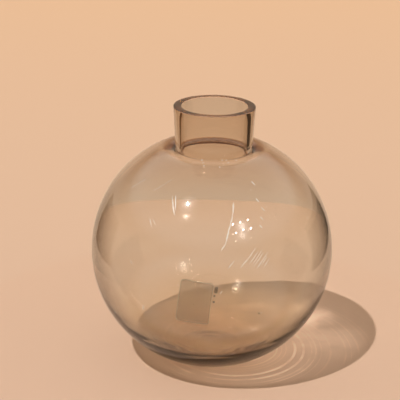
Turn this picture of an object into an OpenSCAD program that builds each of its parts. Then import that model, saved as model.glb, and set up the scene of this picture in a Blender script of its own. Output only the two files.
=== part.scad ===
// Round glass bud vase: a blown globe with a pad of glass in its floor and a thick collar fused on top,
// and a clear film label low on its back. The origin is the centre of the face that it stands on, +Z is up.

/* [Globe] */
// Widest outside diameter of the globe
globe_d = 120; // [118:0.5:122]
// Height that the round shape would have without its flat foot and its neck
globe_h = 117.6; // [116:0.2:117.8]
// How much of the round shape the flat foot takes off
foot_cut = 1.8; // [1.6:0.1:3]
// Wall thickness at the widest place
side_wall = 1.2; // [0.8:0.1:2]
// Wall thickness at the bottom of the round shape, before the foot is cut
bottom_wall = 4.2; // [4:0.1:6]
// Wall thickness at the top of the round shape, before the neck is set in
top_wall = 6.8; // [6.6:0.1:8]
// Diameter of the hollow in the underside
punt_d = 24; // [12:1:28]
// Depth of the hollow in the underside
punt_depth = 0.3; // [0.2:0.1:1]

/* [Neck] */
// Height of the rim above the foot
vase_h = 131; // [129:0.5:140]
// Outside diameter at the rim
rim_d = 39.8; // [39:0.2:44]
// Outside diameter above the rolled lower edge of the collar
waist_d = 38; // [37.4:0.2:38.8]
// Inside diameter of the mouth
bore_d = 32; // [30:0.5:33]
// Diameter of the crease where the collar meets the globe
crease_d = 36.6; // [36:0.1:37]
// Height of that crease above the foot
crease_h = 108.9; // [108.7:0.1:109.4]
// Height of the rolled lower edge of the collar
heel_h = 5; // [3:0.5:7]
// Radius of the rim's edges
rim_edge = 0.5; // [0.3:0.1:0.8]
// Radius with which the globe rolls down into the crease
shoulder_roll = 12; // [10:0.5:14]
// Radius of the edge between the bore and the inside of the globe
lip_roll = 0.6; // [0.4:0.1:0.8]

/* [Base pad] */
// Diameter of the pad of glass in the floor
pad_d = 61; // [40:1:64]
// Thickness of the pad at its middle
pad_middle = 1.4; // [1:0.1:2]
// Thickness of the pad at its edge
pad_edge = 0.6; // [0.4:0.1:1]

/* [Label] */
// Width of the clear label
label_w = 18.6; // [12:0.2:20]
// Height of the clear label
label_h = 30.5; // [20:0.5:32]
// Radius of the label's corners
label_corner = 2.2; // [1:0.1:4]
// Thickness of the label's film
film = 0.2; // [0.15:0.05:0.4]
// Thickness of the adhesive that an older label left
residue_film = 0.15; // [0.15:0.05:0.3]
// Angle from straight down to the middle of the label
label_from_base = 36.4; // [35:0.2:60]
// Compass angle of the label, counted from +X
label_azimuth = 105; // [0:1:360]
// Turn of the label in its own plane
label_twist = 17.7; // [-45:0.1:45]

/* [Hidden] */

$fn = 180;
far = 2 * globe_d;
smoke = [0.66, 0.57, 0.47];
deep_smoke = [0.50, 0.38, 0.26];
clear_film = [0.62, 0.55, 0.47];

middle_z = globe_h / 2 - foot_cut;
out_arc = globe_h / 2;
hollow_half_w = globe_d / 2 - side_wall;
floor_arc = out_arc - bottom_wall;
ceiling_arc = out_arc - top_wall;
bore_r = bore_d / 2;
crease_r = crease_d / 2;

// The shoulder roll touches the globe's outside from within and passes through the crease.
out_centre_r = globe_d / 2 - out_arc;
crease_run = crease_r - out_centre_r;
crease_rise = crease_h - middle_z;
crease_reach = norm([crease_run, crease_rise]);
roll_reach = out_arc - shoulder_roll;
roll_gap = acos((pow(roll_reach, 2) + pow(crease_reach, 2) - pow(shoulder_roll, 2))
                / (2 * roll_reach * crease_reach));
roll_angle = atan2(crease_rise, crease_run) - roll_gap;
roll_r = out_centre_r + roll_reach * cos(roll_angle);
roll_z = middle_z + roll_reach * sin(roll_angle);
roll_end_r = out_centre_r + out_arc * cos(roll_angle);
roll_end_z = middle_z + out_arc * sin(roll_angle);

// The lip roll touches the bore on one side and the ceiling of the hollow on the other.
ceiling_centre_r = hollow_half_w - ceiling_arc;
lip_run = bore_r + lip_roll - ceiling_centre_r;
lip_reach = ceiling_arc + lip_roll;
lip_z = middle_z + sqrt(pow(lip_reach, 2) - pow(lip_run, 2));
lip_end_r = ceiling_centre_r + lip_run * ceiling_arc / lip_reach;

// The rolled lower edge of the collar is an arc from the waist down to the crease.
heel_in = (waist_d - crease_d) / 2;
heel_arc = (pow(heel_h, 2) + pow(heel_in, 2)) / (2 * heel_in);

// The punt and the top of the pad are shallow bowls: an arc over a chord, from its rise.
function bowl_arc(chord, rise) = (pow(chord / 2, 2) + pow(rise, 2)) / (2 * rise);
punt_arc = bowl_arc(punt_d, punt_depth);
floor_centre_r = hollow_half_w - floor_arc;
pad_low_z = middle_z - floor_arc + pad_middle;
pad_rim_floor_z = middle_z - sqrt(pow(floor_arc, 2) - pow(pad_d / 2 - floor_centre_r, 2));
pad_rim_z = pad_rim_floor_z + pad_edge;
pad_arc = bowl_arc(pad_d, pad_rim_z - pad_low_z);

// Specks of adhesive beside the label: distance up, distance past the label's edge, height and width.
specks = [[11.2, 1.5, 4.8, 2.2], [7.2, 1.1, 1.6, 1.2], [3, 1.2, 1.8, 1.4]];

// Half of a round outline: a flat middle and a quarter circle that ends upright at the side.
module quarter_outline(half_w, arc) {
    square([half_w - arc, arc]);
    intersection() {
        translate([half_w - arc, 0]) circle(arc);
        square([half_w, arc]);
    }
}

// Closed outline of a round body, with its own arcs above and below its widest place.
module round_outline(half_w, upper_arc, lower_arc) {
    translate([0, middle_z]) {
        quarter_outline(half_w, upper_arc);
        mirror([0, 1]) quarter_outline(half_w, lower_arc);
    }
}

module globe_outline(grow = 0) {
    round_outline(globe_d / 2 + grow, out_arc + grow, out_arc + grow);
}

// Outside of the globe, with the rolled shoulder and the flat landing under the collar.
module shoulder_outline() {
    difference() {
        globe_outline();
        translate([0, roll_end_z]) square([roll_end_r, far]);
    }
    intersection() {
        translate([roll_r, roll_z]) circle(shoulder_roll);
        translate([0, roll_end_z]) square([roll_end_r, far]);
    }
    translate([0, middle_z]) square([crease_r, crease_rise]);
}

// The hollow, open upwards through the bore.
module hollow_outline() {
    round_outline(hollow_half_w, ceiling_arc, floor_arc);
    translate([0, middle_z]) square([bore_r, far]);
    difference() {
        translate([bore_r, middle_z]) square([lip_end_r - bore_r, lip_z - middle_z]);
        translate([bore_r + lip_roll, lip_z]) circle(lip_roll);
    }
}

module globe() {
    color(smoke)
    rotate_extrude() difference() {
        intersection() {
            shoulder_outline();
            square([far, far]);
        }
        hollow_outline();
        translate([0, punt_depth - punt_arc]) intersection() {
            circle(punt_arc);
            square([punt_arc, punt_arc]);
        }
    }
}

// Thick pad of glass that lies on the floor of the hollow.
module base_pad() {
    color(deep_smoke)
    rotate_extrude() difference() {
        intersection() {
            round_outline(hollow_half_w, ceiling_arc, floor_arc);
            square([pad_d / 2, pad_rim_z]);
        }
        translate([0, pad_low_z + pad_arc]) intersection() {
            circle(pad_arc);
            translate([0, -pad_arc]) square([pad_arc, 2 * pad_arc]);
        }
    }
}

// Thick ring of glass that stands on the landing: rolled heel, slight flare and eased rim edges.
module neck_collar() {
    heel_z = crease_h + heel_h;
    edge_z = vase_h - rim_edge;
    color(smoke)
    rotate_extrude() difference() {
        union() {
            intersection() {
                translate([waist_d / 2 - heel_arc, heel_z]) circle(heel_arc);
                translate([0, crease_h]) square([waist_d / 2, heel_h]);
            }
            polygon([[0, heel_z], [waist_d / 2, heel_z], [rim_d / 2, edge_z], [0, edge_z]]);
            translate([0, edge_z]) square([rim_d / 2 - rim_edge, rim_edge]);
            translate([rim_d / 2 - rim_edge, edge_z]) circle(rim_edge);
        }
        translate([0, middle_z]) square([bore_r, far]);
        difference() {
            translate([bore_r, edge_z]) square([rim_edge, far]);
            translate([bore_r + rim_edge, edge_z]) circle(rim_edge);
        }
    }
}

// Places a flat cutter on the line from the globe's middle through the label.
module at_label() {
    translate([0, 0, middle_z])
    rotate([0, 0, label_azimuth])
    rotate([0, 180 - label_from_base, 0])
    rotate([0, 0, label_twist])
    children();
}

// Thin skin on the globe's outside.
module skin(thickness) {
    rotate_extrude() difference() {
        globe_outline(thickness);
        globe_outline();
    }
}

module rounded_plate(length, width, corner, height) {
    linear_extrude(height) {
        square([length - 2 * corner, width], center = true);
        square([length, width - 2 * corner], center = true);
        for (x = [-1, 1], y = [-1, 1])
            translate([x * (length / 2 - corner), y * (width / 2 - corner)]) circle(corner);
    }
}

module film_label() {
    color(clear_film)
    intersection() {
        skin(film);
        at_label() rounded_plate(label_h, label_w, label_corner, globe_d);
    }
}

// What an older label left: a few thin specks of adhesive beside the new one.
module adhesive_residue() {
    color(deep_smoke)
    intersection() {
        skin(residue_film);
        at_label() for (speck = specks)
            translate([-speck[0], -label_w / 2 - speck[1]])
            rounded_plate(speck[2], speck[3], speck[3] / 3, globe_d);
    }
}

globe();
base_pad();
neck_collar();
film_label();
adhesive_residue();
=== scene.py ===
"""Looks for the round glass bud vase: one body of smoky glass, its film label and small marks."""
import math
import random

import bmesh
import bpy
from mathutils import Matrix, Vector


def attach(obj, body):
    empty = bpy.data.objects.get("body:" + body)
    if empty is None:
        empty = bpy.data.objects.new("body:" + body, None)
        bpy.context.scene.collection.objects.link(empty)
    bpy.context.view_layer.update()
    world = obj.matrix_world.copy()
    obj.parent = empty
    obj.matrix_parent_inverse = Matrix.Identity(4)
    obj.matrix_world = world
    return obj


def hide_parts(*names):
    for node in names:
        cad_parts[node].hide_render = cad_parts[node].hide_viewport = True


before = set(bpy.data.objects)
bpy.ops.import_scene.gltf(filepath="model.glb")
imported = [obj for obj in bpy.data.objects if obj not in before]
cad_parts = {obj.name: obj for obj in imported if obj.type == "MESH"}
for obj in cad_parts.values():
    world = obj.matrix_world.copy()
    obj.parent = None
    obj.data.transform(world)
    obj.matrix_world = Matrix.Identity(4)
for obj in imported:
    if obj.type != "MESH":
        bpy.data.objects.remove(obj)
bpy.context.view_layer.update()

MM = 0.001
random.seed(11)

# ---------------------------------------------------------------- sizes, as the CAD model has them, in mm
GLOBE_R, SHELL_ARC, MIDDLE_Z = 60.0, 58.8, 57.0
SIDE_WALL = 1.2
CEILING_ARC = 52.0
FLOOR_ARC = 54.6
PUNT_R, PUNT_DEPTH = 12.0, 0.3
CREASE_R, CREASE_Z = 18.3, 108.9
SHOULDER_ROLL, FOOT_ROLL = 12.0, 10.0
WAIST_R, HEEL_H = 19.0, 5.0
RIM_R, RIM_Z, RIM_EDGE = 19.9, 131.0, 0.5
BORE_R, LIP_ROLL = 16.0, 0.6
PAD_R, PAD_MIDDLE, PAD_EDGE = 30.5, 1.4, 0.6
LABEL_W, LABEL_H, LABEL_CORNER = 18.6, 30.5, 2.2
LABEL_FROM_BASE, LABEL_AZIMUTH, LABEL_TWIST = 36.4, 105.0, 17.7
SPECKS = [(11.2, 1.5, 4.8, 2.2), (7.2, 1.1, 1.6, 1.2), (3.0, 1.2, 1.8, 1.4)]

# the last of the hand work: a pad melted into the floor, and faint rings left by turning the hot glass
MELT = 0.35
RING_HEIGHT, RING_PITCH, RING_TOP = 0.022, 4.3, 46.0

# ---------------------------------------------------------------- shapes


def arc(centre, radius, start, end, steps):
    """Points on a circle in the (radius, height) plane, from angle start to angle end in radians."""
    points = []
    for i in range(steps + 1):
        a = start + (end - start) * i / steps
        points.append((centre[0] + radius * math.cos(a), centre[1] + radius * math.sin(a)))
    return points


def between(start, end, steps):
    """Points inside a straight stretch, without its ends."""
    return [(start[0] + (end[0] - start[0]) * i / steps, start[1] + (end[1] - start[1]) * i / steps)
            for i in range(1, steps)]


def tangent_roll():
    """Centre and turn of the roll that touches the shell from within and passes through the crease."""
    run, rise = CREASE_R - (GLOBE_R - SHELL_ARC), CREASE_Z - MIDDLE_Z
    reach = math.hypot(run, rise)
    roll_reach = SHELL_ARC - SHOULDER_ROLL
    gap = math.acos((roll_reach ** 2 + reach ** 2 - SHOULDER_ROLL ** 2) / (2 * roll_reach * reach))
    turn = math.atan2(rise, run) - gap
    return GLOBE_R - SHELL_ARC + roll_reach * math.cos(turn), MIDDLE_Z + roll_reach * math.sin(turn), turn


def outside_profile():
    """The outer skin from the middle of the underside up to the top of the rim."""
    shell = (GLOBE_R - SHELL_ARC, MIDDLE_Z)
    foot_reach = SHELL_ARC - FOOT_ROLL
    foot_turn = -math.asin((MIDDLE_Z - FOOT_ROLL) / foot_reach)
    foot = (shell[0] + foot_reach * math.cos(foot_turn), FOOT_ROLL)
    roll_r, roll_z, roll_turn = tangent_roll()
    crease_turn = math.atan2(CREASE_Z - roll_z, CREASE_R - roll_r)
    heel_in = WAIST_R - CREASE_R
    heel_arc = (HEEL_H ** 2 + heel_in ** 2) / (2 * heel_in)
    heel = (WAIST_R - heel_arc, CREASE_Z + HEEL_H)
    edge_z = RIM_Z - RIM_EDGE
    points = [(PUNT_R * i / 12, PUNT_DEPTH * math.cos(math.pi / 2 * i / 12) ** 2) for i in range(13)]
    points += arc(foot, FOOT_ROLL, -math.pi / 2, foot_turn, 10)
    points += arc(shell, SHELL_ARC, foot_turn, roll_turn, 110)[1:]
    points += arc((roll_r, roll_z), SHOULDER_ROLL, roll_turn, crease_turn, 14)[1:]
    points += arc(heel, heel_arc, -math.asin(HEEL_H / heel_arc), 0, 8)[1:]
    points += between((WAIST_R, heel[1]), (RIM_R, edge_z), 4)
    points += arc((RIM_R - RIM_EDGE, edge_z), RIM_EDGE, 0, math.pi / 2, 6)
    return points


def floor_height(radius):
    """Height of the inner floor, where the pad has melted into the bottom of the globe."""
    floor_r = GLOBE_R - SIDE_WALL - FLOOR_ARC
    bowl = MIDDLE_Z - math.sqrt(FLOOR_ARC ** 2 - max(0, radius - floor_r) ** 2)
    pad_low = MIDDLE_Z - FLOOR_ARC + PAD_MIDDLE
    pad_rim = MIDDLE_Z - math.sqrt(FLOOR_ARC ** 2 - (PAD_R - floor_r) ** 2) + PAD_EDGE
    pad = pad_low + (pad_rim - pad_low) * (radius / PAD_R) ** 2
    return (bowl + pad) / 2 + math.hypot((bowl - pad) / 2, MELT)


def inside_profile():
    """The inner skin from the top of the rim down to the middle of the floor."""
    edge_z = RIM_Z - RIM_EDGE
    hollow_r = GLOBE_R - SIDE_WALL
    ceiling = (hollow_r - CEILING_ARC, MIDDLE_Z)
    floor = (hollow_r - FLOOR_ARC, MIDDLE_Z)
    lip_run = BORE_R + LIP_ROLL - ceiling[0]
    lip_reach = CEILING_ARC + LIP_ROLL
    lip = (BORE_R + LIP_ROLL, MIDDLE_Z + math.sqrt(lip_reach ** 2 - lip_run ** 2))
    lip_turn = math.acos(lip_run / lip_reach)
    points = arc((BORE_R + RIM_EDGE, edge_z), RIM_EDGE, math.pi / 2, math.pi, 6)
    points += between((BORE_R, edge_z), (BORE_R, lip[1]), 6)
    points += arc(lip, LIP_ROLL, math.pi, math.pi + lip_turn, 6)
    points += arc(ceiling, CEILING_ARC, lip_turn, 0, 90)[1:]
    bowl = arc(floor, FLOOR_ARC, 0, -math.radians(48), 44)[1:]
    low = [(bowl[-1][0] * (1 - i / 60), 0) for i in range(1, 61)]
    for radius, height in bowl + low:
        if height < MIDDLE_Z / 2:
            height = max(height, floor_height(radius))
        depth = max(0, 1 - height / RING_TOP)
        ring = RING_HEIGHT * min(1, 3 * depth) * math.sin(2 * math.pi * radius / RING_PITCH)
        points.append((max(0, radius), height + ring))
    return points


def finish_mesh(name, mesh, material):
    """Turn the built mesh into a smooth piece of the vase with one material."""
    bmesh.ops.recalc_face_normals(mesh, faces=mesh.faces)
    data = bpy.data.meshes.new(name)
    mesh.to_mesh(data)
    mesh.free()
    for face in data.polygons:
        face.use_smooth = True
    data.materials.append(material)
    piece = bpy.data.objects.new(name, data)
    bpy.context.collection.objects.link(piece)
    return piece


def turned(name, profile, around, material):
    """A closed mesh turned about the Z axis from (radius, height) points in mm.

    The first and last points lie on the axis.
    """
    mesh = bmesh.new()
    rings = []
    for radius, height in profile:
        if radius < 1e-6:
            rings.append([mesh.verts.new((0, 0, height * MM))])
            continue
        ring = []
        for k in range(around):
            a = 2 * math.pi * k / around
            point = Vector((radius * math.cos(a), radius * math.sin(a), height))
            ring.append(mesh.verts.new(point * MM))
        rings.append(ring)
    for low, high in zip(rings, rings[1:]):
        for k in range(around):
            following = (k + 1) % around
            corners = [low[k % len(low)], low[following % len(low)],
                       high[following % len(high)], high[k % len(high)]]
            mesh.faces.new(list(dict.fromkeys(corners)))
    return finish_mesh(name, mesh, material)


def on_globe(azimuth, height, lift=0.0):
    """A point on the outer skin, in metres, and its normal; azimuth in degrees, height in mm."""
    a = math.radians(azimuth)
    rise = height - MIDDLE_Z
    run = math.sqrt(SHELL_ARC ** 2 - rise ** 2)
    normal = Vector((math.cos(a) * run, math.sin(a) * run, rise)) / SHELL_ARC
    ring = Vector((math.cos(a), math.sin(a), 0)) * (GLOBE_R - SHELL_ARC)
    return (ring + normal * (SHELL_ARC + lift) + Vector((0, 0, MIDDLE_Z))) * MM, normal


# ---------------------------------------------------------------- materials

NECK_TONE = (1.0, 0.95, 0.89, 1)
BODY_TONE = (0.96, 0.98, 0.975, 1)
# the amber near the foot is partly the thick glass's colour and partly painted golden light from under the
# vase
FOOT_AMBER_AND_PAINTED_LIGHT = (0.94, 0.86, 0.68, 1)
# painted shade: the dark brown, and its share, that darken the glass where it turns away at the sides
EDGE_SHADE = (0.06, 0.03, 0.0, 1)
EDGE_SHADE_SHARE = 0.85
GREASE_ROUGHNESS = 0.05
SMOKE_COLOUR, SMOKE_DENSITY = (0.62, 0.40, 0.12, 1), 85


def new_material(name):
    material = bpy.data.materials.new(name)
    material.use_nodes = True
    return material, material.node_tree, material.node_tree.nodes["Principled BSDF"]


def placed(tree):
    """The place of a point on its piece, in metres, whole and split into its parts."""
    place = tree.nodes.new("ShaderNodeTexCoord")
    parts = tree.nodes.new("ShaderNodeSeparateXYZ")
    tree.links.new(place.outputs["Object"], parts.inputs[0])
    return place.outputs["Object"], parts.outputs


def noise(tree, place, scale, detail):
    """Soft random variation, about 0.3 to 0.7; scale is in features per metre."""
    node = tree.nodes.new("ShaderNodeTexNoise")
    node.inputs["Scale"].default_value = scale
    node.inputs["Detail"].default_value = detail
    tree.links.new(place, node.inputs["Vector"])
    return node.outputs["Fac"]


def ramp(tree, value, start, end, top=1.0, smooth=False):
    """Rises from 0 where the value is start to top where it is end."""
    node = tree.nodes.new("ShaderNodeMapRange")
    if smooth:
        node.interpolation_type = "SMOOTHSTEP"
    node.inputs["From Min"].default_value = start
    node.inputs["From Max"].default_value = end
    node.inputs["To Max"].default_value = top
    tree.links.new(value, node.inputs["Value"])
    return node.outputs["Result"]


def mixed(tree, share, first, second):
    """From the first colour to the second; each is a colour or another node's output."""
    node = tree.nodes.new("ShaderNodeMix")
    node.data_type = "RGBA"
    for name, colour in (("A", first), ("B", second)):
        if isinstance(colour, tuple):
            node.inputs[name].default_value = colour
        else:
            tree.links.new(colour, node.inputs[name])
    tree.links.new(share, node.inputs["Factor"])
    return node.outputs["Result"]


def sums(tree, operation, first, second=None):
    """One step of arithmetic on numbers and other nodes' outputs."""
    node = tree.nodes.new("ShaderNodeMath")
    node.operation = operation
    for slot, value in enumerate((first, second)):
        if isinstance(value, (int, float)):
            node.inputs[slot].default_value = value
        elif value is not None:
            tree.links.new(value, node.inputs[slot])
    return node.outputs[0]


def smoky_glass():
    """Clear outside and smoky brown through its depth, with painted shade where it turns away at the sides
    and an amber foot that is partly painted golden light.
    """
    material, tree, shader = new_material("smoky_glass")
    shader.inputs["Transmission Weight"].default_value = 1.0
    shader.inputs["IOR"].default_value = 1.5
    place, parts = placed(tree)
    facing = tree.nodes.new("ShaderNodeLayerWeight")
    facing.inputs["Blend"].default_value = 0.5
    # painted shade: darker where the glass turns away at the sides, faded out at the foot and the neck
    turned_away_shade = ramp(tree, facing.outputs["Facing"], 0.38, 1, EDGE_SHADE_SHARE, smooth=True)
    above_foot = ramp(tree, parts["Z"], 8 * MM, 34 * MM)
    below_neck = ramp(tree, parts["Z"], 106 * MM, 74 * MM)
    near_foot = ramp(tree, parts["Z"], 30 * MM, 6 * MM)
    body = mixed(tree, below_neck, NECK_TONE, BODY_TONE)
    # amber near the foot, partly painted golden light
    body = mixed(tree, near_foot, body, FOOT_AMBER_AND_PAINTED_LIGHT)
    edge = sums(tree, "MULTIPLY", sums(tree, "MULTIPLY", turned_away_shade, above_foot), below_neck)
    tree.links.new(mixed(tree, edge, body, EDGE_SHADE), shader.inputs["Base Color"])
    grease = ramp(tree, noise(tree, place, 22, 5), 0.52, 0.80, GREASE_ROUGHNESS)
    tree.links.new(grease, shader.inputs["Roughness"])
    volume = tree.nodes.new("ShaderNodeVolumeAbsorption")
    volume.inputs["Color"].default_value = SMOKE_COLOUR
    volume.inputs["Density"].default_value = SMOKE_DENSITY
    tree.links.new(volume.outputs[0], tree.nodes["Material Output"].inputs["Volume"])
    return material


def noisy(name, low, high, scale, roughness, opacity=1.0):
    """A plain surface whose colour drifts between two tones."""
    material, tree, shader = new_material(name)
    place, _ = placed(tree)
    drift = mixed(tree, noise(tree, place, scale, 6), low, high)
    tree.links.new(drift, shader.inputs["Base Color"])
    shader.inputs["Roughness"].default_value = roughness
    shader.inputs["Alpha"].default_value = opacity
    return material


glass_mat = smoky_glass()
film_mat = noisy("label_film", (0.78, 0.60, 0.47, 1), (0.96, 0.79, 0.63, 1), 160, 0.6, 0.36)
film_edge_mat = noisy("label_film_edge", (0.85, 0.74, 0.62, 1), (0.95, 0.88, 0.80, 1), 300, 0.3, 0.65)
wrinkle_mat = noisy("wrinkled_film", (0.90, 0.78, 0.66, 1), (1.0, 0.93, 0.85, 1), 700, 0.5, 0.6)
gum_mat = noisy("dried_gum", (0.28, 0.20, 0.14, 1), (0.45, 0.33, 0.24, 1), 900, 0.8, 0.75)
scuff_mat = noisy("scuffed_glass", (0.90, 0.84, 0.76, 1), (1.0, 0.97, 0.93, 1), 900, 0.45, 0.85)
dust_mat = noisy("dust", (0.10, 0.06, 0.04, 1), (0.30, 0.20, 0.13, 1), 900, 0.9)

# ---------------------------------------------------------------- the glass

glass = turned("vase_glass", outside_profile() + inside_profile(), 256, glass_mat)
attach(glass, "root")
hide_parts("globe", "base_pad", "neck_collar")

# ---------------------------------------------------------------- marks on the glass


def scratch(mesh, start, end, width, jag=0.0):
    """A thin tapering streak laid on the outer skin between two (azimuth, height) points."""
    steps = 16
    left, right = [], []
    first, _ = on_globe(*start)
    last, _ = on_globe(*end)
    along = (last - first).normalized()
    for i in range(steps + 1):
        t = i / steps
        azimuth = start[0] + (end[0] - start[0]) * t + random.uniform(-jag, jag)
        height = start[1] + (end[1] - start[1]) * t
        point, normal = on_globe(azimuth, height, 0.02)
        across = normal.cross(along).normalized()
        half = width * MM / 2 * (0.12 + 0.88 * math.sin(math.pi * t) ** 0.7) * random.uniform(0.45, 1.3)
        left.append(mesh.verts.new(point + across * half))
        right.append(mesh.verts.new(point - across * half))
    for i in range(steps):
        mesh.faces.new((left[i], right[i], right[i + 1], left[i + 1]))


def speck(mesh, azimuth, height, size):
    """A tiny low dome stuck to the outer skin."""
    point, normal = on_globe(azimuth, height, 0.0)
    bmesh.ops.create_icosphere(mesh, subdivisions=1, radius=size * MM / 2,
                               matrix=Matrix.Translation(point + normal * size * MM * 0.2))


def painted_glint(mesh, azimuth, radius, size):
    """A tiny pale dot on the rolled shoulder just outside the crease: a painted glint where light catches
    it.
    """
    roll_r, roll_z, _ = tangent_roll()
    height = roll_z + math.sqrt(SHOULDER_ROLL ** 2 - (radius - roll_r) ** 2)
    a = math.radians(azimuth)
    spot = Vector((radius * math.cos(a), radius * math.sin(a), height + 0.1)) * MM
    bmesh.ops.create_icosphere(mesh, subdivisions=1, radius=size * MM / 2, matrix=Matrix.Translation(spot))


# each streak: where it starts and ends, as (azimuth, height), its width in mm, and how ragged it is
STREAKS = [((-77.6, 97), (-78.6, 93.4), 0.75, 0.25), ((-78.1, 94.6), (-82.4, 84.6), 0.6, 0.2),
           ((-81.2, 88), (-83.6, 80.6), 0.7, 0.12), ((-83.6, 81), (-85.6, 78.2), 0.5, 0.3),
           ((-115.6, 98.2), (-110.6, 91.2), 0.5, 0.15), ((-113.6, 98.6), (-110.8, 93), 0.45, 0.15)]
CHIPS = [((-122, 48), (-122.5, 45), 0.45, 0), ((-130, 68.4), (-128.4, 66.8), 0.4, 0),
         ((-85.2, 60), (-86, 58.5), 0.35, 0)]

scratches = bmesh.new()
for streak in STREAKS:
    scratch(scratches, *streak)
for i in range(2):
    scratch(scratches, (-124.5 + 2 * i, 88.2), (-121.8 + 2 * i, 85 + i), 0.3)
for i in range(7):
    azimuth = -71.5 + 1.25 * i + random.uniform(-0.6, 0.6)
    height = 76 - 0.75 * i + random.uniform(-1.2, 1.2)
    reach = random.uniform(1.6, 3.4)
    start, end = (azimuth - reach, height - 1.1 * reach), (azimuth + reach, height + 1.1 * reach)
    scratch(scratches, start, end, 0.3, jag=0.1)
for azimuth, height in ((-81.2, 72.0), (-75.3, 72.2), (-67.5, 71.4)):
    scratch(scratches, (azimuth - 1.5, height - 1.7), (azimuth + 1.5, height + 1.7), 0.4)
for azimuth, height in ((-60.3, 103), (-62.2, 97), (-60.6, 93.5), (-62.8, 90), (-64.5, 87)):
    scratch(scratches, (azimuth - 0.7, height + 0.8), (azimuth + 0.7, height - 0.8), 0.5)
for chip in CHIPS:
    scratch(scratches, *chip)
scratches = finish_mesh("scratches", scratches, scuff_mat)
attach(scratches, "root")

# painted glints on the rolled shoulder, tiny pale dots where light catches it, as (azimuth, radius)
SHOULDER_GLINTS = [(-105, 20.8), (-104, 22.5), (-101, 25.6), (-99, 28), (-78, 19.7), (-73, 20.8),
                    (-63, 23.6), (-74, 25.3), (-84, 28.5)]

sparkles = bmesh.new()
for i in range(6):
    speck(sparkles, -148.5 + 1.1 * i, 96.7 + 0.8 * i, 0.42)
for i in range(8):
    speck(sparkles, -129.5 + 1.1 * i, 98.8 + 0.65 * i, 0.42)
for i in range(26):
    speck(sparkles, random.uniform(-150, -30), random.uniform(20, 102), random.uniform(0.22, 0.42))
# painted glints, in the same mesh as the pale specks
for azimuth, radius in SHOULDER_GLINTS:
    painted_glint(sparkles, azimuth, radius, 0.6)
sparkles = finish_mesh("seed_bubbles_and_painted_glints", sparkles, scuff_mat)
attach(sparkles, "root")

# the larger grains of dust, as (azimuth, height, size)
GRAINS = [(-20.3, 80.8, 0.6), (-38.7, 65.8, 0.5), (-67.7, 46.9, 0.75), (-113.8, 68.2, 0.4),
          (-110.4, 82.4, 0.4)]

dust = bmesh.new()
for i in range(24):
    speck(dust, random.gauss(-42, 9), random.uniform(62, 98), random.uniform(0.28, 0.5))
for i in range(26):
    speck(dust, random.uniform(-180, 180), random.uniform(18, 104), random.uniform(0.2, 0.4))
for azimuth, height, size in GRAINS:
    speck(dust, azimuth, height, size)
dust = finish_mesh("dust_specks", dust, dust_mat)
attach(dust, "root")

# ---------------------------------------------------------------- film label and old adhesive

LABEL_PLACE = (Matrix.Translation((0, 0, MIDDLE_Z)) @ Matrix.Rotation(math.radians(LABEL_AZIMUTH), 4, "Z")
               @ Matrix.Rotation(math.radians(180 - LABEL_FROM_BASE), 4, "Y")
               @ Matrix.Rotation(math.radians(LABEL_TWIST), 4, "Z"))


def on_skin(x, y, lift):
    """A point of the label's own plane, in mm, dropped on the globe's outside and lifted off it."""
    out = math.sqrt(SHELL_ARC ** 2 - x ** 2 - y ** 2)
    for _ in range(5):
        spot = LABEL_PLACE @ Vector((x, y, out))
        ring = math.hypot(math.hypot(spot.x, spot.y) - (GLOBE_R - SHELL_ARC), spot.z - MIDDLE_Z)
        out += SHELL_ARC + lift - ring
    return (LABEL_PLACE @ Vector((x, y, out))) * MM


def rounded_edge(length, width, corner, steps):
    """Points round a rectangle with rounded corners, counted from its middle."""
    points = []
    for turn, sx, sy in ((0, 1, 1), (1, -1, 1), (2, -1, -1), (3, 1, -1)):
        centre = (sx * (length / 2 - corner), sy * (width / 2 - corner))
        bend = arc(centre, corner, turn * math.pi / 2, (turn + 1) * math.pi / 2, steps)
        if points:
            points += between(points[-1], bend[0], 12)
        points += bend
    return points + between(points[-1], points[0], 12)


def film_piece(name, edge, inner, outer, thickness, lift, material, middle=(0, 0)):
    """A thin film on the glass, from a share `inner` of its outline out to a share `outer`."""
    mesh = bmesh.new()
    layers = []
    steps = 14
    for level in (lift, lift + thickness):
        rings = []
        for i in range(steps + 1):
            share = inner + (outer - inner) * i / steps
            ring = []
            for x, y in edge:
                px, py = middle[0] + x * share, middle[1] + y * share
                wave = 0.03 * math.sin(0.9 * px + 0.7 * py) * math.sin(0.45 * py - 0.3 * px)
                ring.append(mesh.verts.new(on_skin(px, py, level + wave * share)))
            rings.append(ring)
        layers.append(rings)
    count = len(edge)
    for rings in layers:
        for low, high in zip(rings, rings[1:]):
            for k in range(count):
                mesh.faces.new((low[k], low[(k + 1) % count], high[(k + 1) % count], high[k]))
    for ring in (0, steps):
        low, high = layers[0][ring], layers[1][ring]
        for k in range(count):
            mesh.faces.new((low[k], low[(k + 1) % count], high[(k + 1) % count], high[k]))
    return finish_mesh(name, mesh, material)


# wrinkles low on the label: distance down and aside from its middle, height and width
WRINKLES = [(11.6, -4.2, 2.2, 7.0), (9.4, 1.2, 5.0, 1.3), (12.6, 3.4, 1.4, 5.2)]

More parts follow.
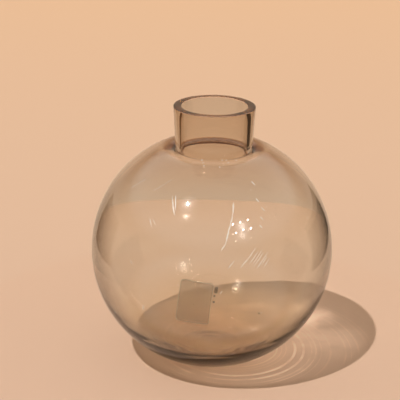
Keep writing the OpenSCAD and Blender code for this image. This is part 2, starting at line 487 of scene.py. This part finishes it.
label_edge = rounded_edge(LABEL_H, LABEL_W, LABEL_CORNER, 6)
film = film_piece("label_film", label_edge, 0.001, 0.965, 0.12, 0.04, film_mat)
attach(film, "root")
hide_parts("film_label")
border = film_piece("label_border", label_edge, 0.965, 1.0, 0.14, 0.04, film_edge_mat)
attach(border, "root")
for i, (down_by, aside, tall, wide) in enumerate(WRINKLES):
    edge = rounded_edge(tall, wide, min(tall, wide) / 2.2, 4)
    edge = [(x * random.uniform(0.6, 1.0), y * random.uniform(0.7, 1.0)) for x, y in edge]
    middle = (down_by, aside)
    wrinkle = film_piece("label_wrinkle_%d" % i, edge, 0.001, 1.0, 0.03, 0.18, wrinkle_mat, middle)
    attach(wrinkle, "root")
for i, (up_by, past, tall, wide) in enumerate(SPECKS):
    edge = rounded_edge(tall, wide, wide / 3, 4)
    edge = [(x * random.uniform(0.75, 1.0), y * random.uniform(0.75, 1.0)) for x, y in edge]
    middle = (-up_by, -LABEL_W / 2 - past)
    gum = film_piece("dried_gum_%d" % i, edge, 0.001, 1.0, 0.08, 0.02, gum_mat, middle)
    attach(gum, "root")
    if i == 0:
        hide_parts("adhesive_residue")

# ---------------------------------------------------------------- stage

SUN_WAY = Vector((0.363, 0.365, -0.857))
WINDOW_WAY = Vector((-0.45, 0.622, -0.641))
sun_run = math.hypot(SUN_WAY.x, SUN_WAY.y)
sun_side = (SUN_WAY.x / sun_run, SUN_WAY.y / sun_run)
SHADE_MIDDLE = MIDDLE_Z * MM * sun_run / -SUN_WAY.z
SHADE_HALF_LENGTH = GLOBE_R * MM / -SUN_WAY.z

PAPER_NEAR, PAPER_FAR = (0.79, 0.545, 0.405, 1), (0.87, 0.56, 0.345, 1)
# painted light: the colour the paper glows with in the vase's shadow, in place of light thrown through the
# glass
PAINTED_LIGHT_COLOUR = (1.0, 0.69, 0.48, 1)
# painted caustic rings round the foot: their middle and reach in metres, and rings per metre
PAINTED_RINGS_MIDDLE, PAINTED_RINGS_REACH, PAINTED_RINGS_PER_METRE = (0.012, 0.005), 0.0428, 420
# soft patches of painted light in the vase's shadow: middle and size in metres, and strength
PAINTED_GLOW_SPOTS = [(0.062, 0.016, 0.028, 0.17), (0.057, 0.044, 0.016, 0.40), (0.014, 0.036, 0.060, 0.20)]


def peach_paper_painted_light():
    """Matt peach paper, warmer far away, with painted light: glowing rings and patches in the vase's shadow
    stand in for the light the glass throws there.
    """
    material, tree, shader = new_material("peach_paper_painted_light")
    place, parts = placed(tree)
    x, y = parts["X"], parts["Y"]

    def plus(first, second):
        return sums(tree, "ADD", first, second)

    def minus(first, second):
        return sums(tree, "SUBTRACT", first, second)

    def times(first, second):
        return sums(tree, "MULTIPLY", first, second)

    def ease(value, start, end):
        return ramp(tree, value, start, end, smooth=True)

    def reach_from(centre_x, centre_y):
        """Distance on the paper from a point."""
        off_x, off_y = minus(x, centre_x), minus(y, centre_y)
        return sums(tree, "SQRT", plus(times(off_x, off_x), times(off_y, off_y)))

    paper = mixed(tree, ramp(tree, y, -0.1, 1.0), PAPER_NEAR, PAPER_FAR)
    tree.links.new(paper, shader.inputs["Base Color"])
    shader.inputs["Roughness"].default_value = 0.85

    # painted caustic rings: a glow in bands round the foot
    reach = reach_from(*PAINTED_RINGS_MIDDLE)
    rings = tree.nodes.new("ShaderNodeTexNoise")
    rings.noise_dimensions = "1D"
    rings.inputs["Detail"].default_value = 2.5
    rings.inputs["Roughness"].default_value = 0.65
    rings.inputs["Scale"].default_value = 1.0
    tree.links.new(times(reach, PAINTED_RINGS_PER_METRE), rings.inputs["W"])
    patches = noise(tree, place, 45, 3)
    cloud = ease(patches, 0.30, 0.70)

    # the globe's shadow is an ellipse drawn out along the sun's way
    along = plus(times(x, sun_side[0]), times(y, sun_side[1]))
    aside = minus(times(x, sun_side[1]), times(y, sun_side[0]))
    along = sums(tree, "DIVIDE", minus(along, SHADE_MIDDLE), SHADE_HALF_LENGTH)
    aside = sums(tree, "DIVIDE", aside, GLOBE_R * MM)
    shaded = plus(times(along, along), times(aside, aside))
    inside = times(ease(shaded, 0.97, 0.80), ease(along, 0.93, 0.60))

    def painted_glow_spot(centre_x, centre_y, size, strength):
        """A soft round patch of painted, cloudy light on the paper."""
        round_patch = ease(reach_from(centre_x, centre_y), size, 0)
        return times(times(round_patch, plus(cloud, 0.3)), strength)

    front = ease(minus(times(x, 0.75), y), 0.006, 0.030)
    lines = times(ease(rings.outputs["Fac"], 0.52, 0.66), ease(patches, 0.30, 0.62))
    zone = times(ease(reach, PAINTED_RINGS_REACH + 0.0027, PAINTED_RINGS_REACH), front)
    near = times(zone, plus(times(lines, 0.26), 0.05))
    beyond = times(times(lines, minus(1, zone)), 0.07)
    light = plus(near, beyond)
    for centre_x, centre_y, size, strength in PAINTED_GLOW_SPOTS:
        light = plus(light, painted_glow_spot(centre_x, centre_y, size, strength))
    # a faint painted glow on the paper under the vase
    under = times(ease(reach, 0.085, 0.035), 0.055)
    # the paper glows with the painted light only inside the vase's shadow
    tree.links.new(times(plus(light, under), inside), shader.inputs["Emission Strength"])
    shader.inputs["Emission Color"].default_value = PAINTED_LIGHT_COLOUR
    return material


# the paper's material, with painted light in the vase's shadow
floor_mat = peach_paper_painted_light()


def disc(name, radius, material, drop):
    """A round sheet of paper under the vase."""
    bpy.ops.mesh.primitive_circle_add(vertices=128, radius=radius, fill_type="NGON", location=(0, 0, -drop))
    piece = bpy.context.object
    piece.name = name
    piece.data.materials.append(material)
    return piece


def card(name, x, y_far, colour):
    """An upright card beside the vase that shows only in mirrored light, on the glass or inside it."""
    mesh = bpy.data.meshes.new(name)
    mesh.from_pydata([(x, 0, 0.02), (x, y_far, 0.02), (x, y_far, 0.1), (x, 0, 0.1)], [], [(0, 1, 2, 3)])
    piece = bpy.data.objects.new(name, mesh)
    bpy.context.collection.objects.link(piece)
    material, tree, card_shader = new_material(name)
    card_shader.inputs["Base Color"].default_value = colour
    card_shader.inputs["Roughness"].default_value = 0.9
    path = tree.nodes.new("ShaderNodeLightPath")
    clear = tree.nodes.new("ShaderNodeBsdfTransparent")
    shown = tree.nodes.new("ShaderNodeMixShader")
    tree.links.new(path.outputs["Glossy Depth"], shown.inputs["Fac"])
    tree.links.new(clear.outputs[0], shown.inputs[1])
    tree.links.new(card_shader.outputs[0], shown.inputs[2])
    tree.links.new(shown.outputs[0], tree.nodes["Material Output"].inputs["Surface"])
    mesh.materials.append(material)
    piece.visible_camera = False
    piece.visible_diffuse = False
    piece.visible_shadow = False


# one sheet seen directly and through the glass, one mirrored in it, and one far behind for the camera
floor = disc("paper_floor", 0.30, floor_mat, 0.00008)
floor.visible_glossy = False
near_floor = disc("paper_for_gloss", 0.145, floor_mat, 0)
near_floor.visible_camera = False
near_floor.visible_transmission = False
near_floor.visible_diffuse = False
near_floor.visible_shadow = False
far_floor = disc("paper_far", 12, floor_mat, 0.00012)
far_floor.visible_glossy = False
far_floor.visible_transmission = False
far_floor.visible_diffuse = False

# the cards make the dark lines at the inner sides of the neck; in views from behind,
# the dark one is also mirrored at the globe's edge
CARD_OUT = 0.16
card("dark_card", CARD_OUT, 0.20, (0.03, 0.02, 0.012, 1))
card("brown_card", -CARD_OUT, 0.13, (0.25, 0.14, 0.07, 1))

FILL_LIGHT = (0.49, 0.43, 0.355, 1)
BACKDROP = (0.80, 0.54, 0.36, 1)

world = bpy.data.worlds.new("studio")
bpy.context.scene.world = world
world.use_nodes = True
sky = world.node_tree
background = sky.nodes["Background"]
where = sky.nodes.new("ShaderNodeTexCoord")
directions = sky.nodes.new("ShaderNodeSeparateXYZ")
heights = sky.nodes.new("ShaderNodeValToRGB")
path = sky.nodes.new("ShaderNodeLightPath")
fill = sky.nodes.new("ShaderNodeMix")
fill.data_type = "RGBA"
fill.inputs["B"].default_value = FILL_LIGHT
backdrop = sky.nodes.new("ShaderNodeMix")
backdrop.data_type = "RGBA"
backdrop.inputs["B"].default_value = BACKDROP
sky.links.new(where.outputs["Generated"], directions.inputs[0])
sky.links.new(directions.outputs["Z"], heights.inputs["Fac"])
sky.links.new(heights.outputs["Color"], fill.inputs["A"])
sky.links.new(path.outputs["Is Diffuse Ray"], fill.inputs["Factor"])
sky.links.new(fill.outputs["Result"], backdrop.inputs["A"])
sky.links.new(path.outputs["Is Camera Ray"], backdrop.inputs["Factor"])
sky.links.new(backdrop.outputs["Result"], background.inputs["Color"])

# the room's tone by height: warm floor, dim walls, bright ceiling
stops = heights.color_ramp.elements
stops[0].color = (0.66, 0.47, 0.33, 1)
stops[1].color = (0.95, 0.93, 0.90, 1)
for position, colour in ((0.1, (0.78, 0.57, 0.41, 1)), (0.34, (0.52, 0.35, 0.24, 1)),
                         (0.5, (0.92, 0.90, 0.88, 1))):
    stops.new(position).color = colour


def sun(name, way, energy, angle, colour=(1, 1, 1)):
    lamp = bpy.data.lights.new(name, "SUN")
    lamp.energy = energy
    lamp.angle = math.radians(angle)
    lamp.color = colour
    piece = bpy.data.objects.new(name, lamp)
    piece.rotation_mode = "QUATERNION"
    piece.rotation_quaternion = way.to_track_quat("-Z", "Y")
    bpy.context.collection.objects.link(piece)
    return piece


sun("key_light", SUN_WAY, 1.62, 1.0, (1.0, 0.99, 0.965))
sun("glint_light", SUN_WAY, 1.3, 2.2).visible_diffuse = False
for way, strength in ((SUN_WAY, 1.0), (WINDOW_WAY, 0.8)):
    for spread, energy in ((6, 0.06), (10, 0.05), (16, 0.06)):
        sun("glow", way, energy * strength, spread).visible_diffuse = False
across = WINDOW_WAY.cross(Vector((0, 0, 1))).normalized()
upward = across.cross(WINDOW_WAY).normalized()
for column in (-1, 0, 1):
    for row in (-1, 1):
        pane = WINDOW_WAY + across * 0.13 * column + upward * 0.07 * row
        sun("window_pane", pane, 0.05, 1.5).visible_diffuse = False

# ---------------------------------------------------------------- camera

DISTANCE, HEIGHT = 0.5943, 0.2974
YAW, PITCH, ROLL = 0.0106, 0.3471, 0.0162
right = Vector((math.cos(YAW), math.sin(YAW), 0))
ahead = Vector((-math.sin(YAW) * math.cos(PITCH), math.cos(YAW) * math.cos(PITCH), -math.sin(PITCH)))
up = right.cross(ahead)
side = right * math.cos(ROLL) + up * math.sin(ROLL)
top = up * math.cos(ROLL) - right * math.sin(ROLL)
camera = bpy.data.cameras.new("camera")
camera.sensor_width = 36
camera.lens = 114.96
camera.clip_start = 0.01
camera_object = bpy.data.objects.new("camera", camera)
spot = Matrix.Translation((0, -DISTANCE, HEIGHT))
camera_object.matrix_world = spot @ Matrix((side, top, -ahead)).transposed().to_4x4()
bpy.context.collection.objects.link(camera_object)
bpy.context.scene.camera = camera_object

scene = bpy.context.scene
scene.view_settings.view_transform = "Standard"
scene.cycles.max_bounces = 24
scene.cycles.transmission_bounces = 24
scene.cycles.glossy_bounces = 12
scene.cycles.caustics_refractive = True
scene.cycles.caustics_reflective = True
scene.cycles.use_denoising = True
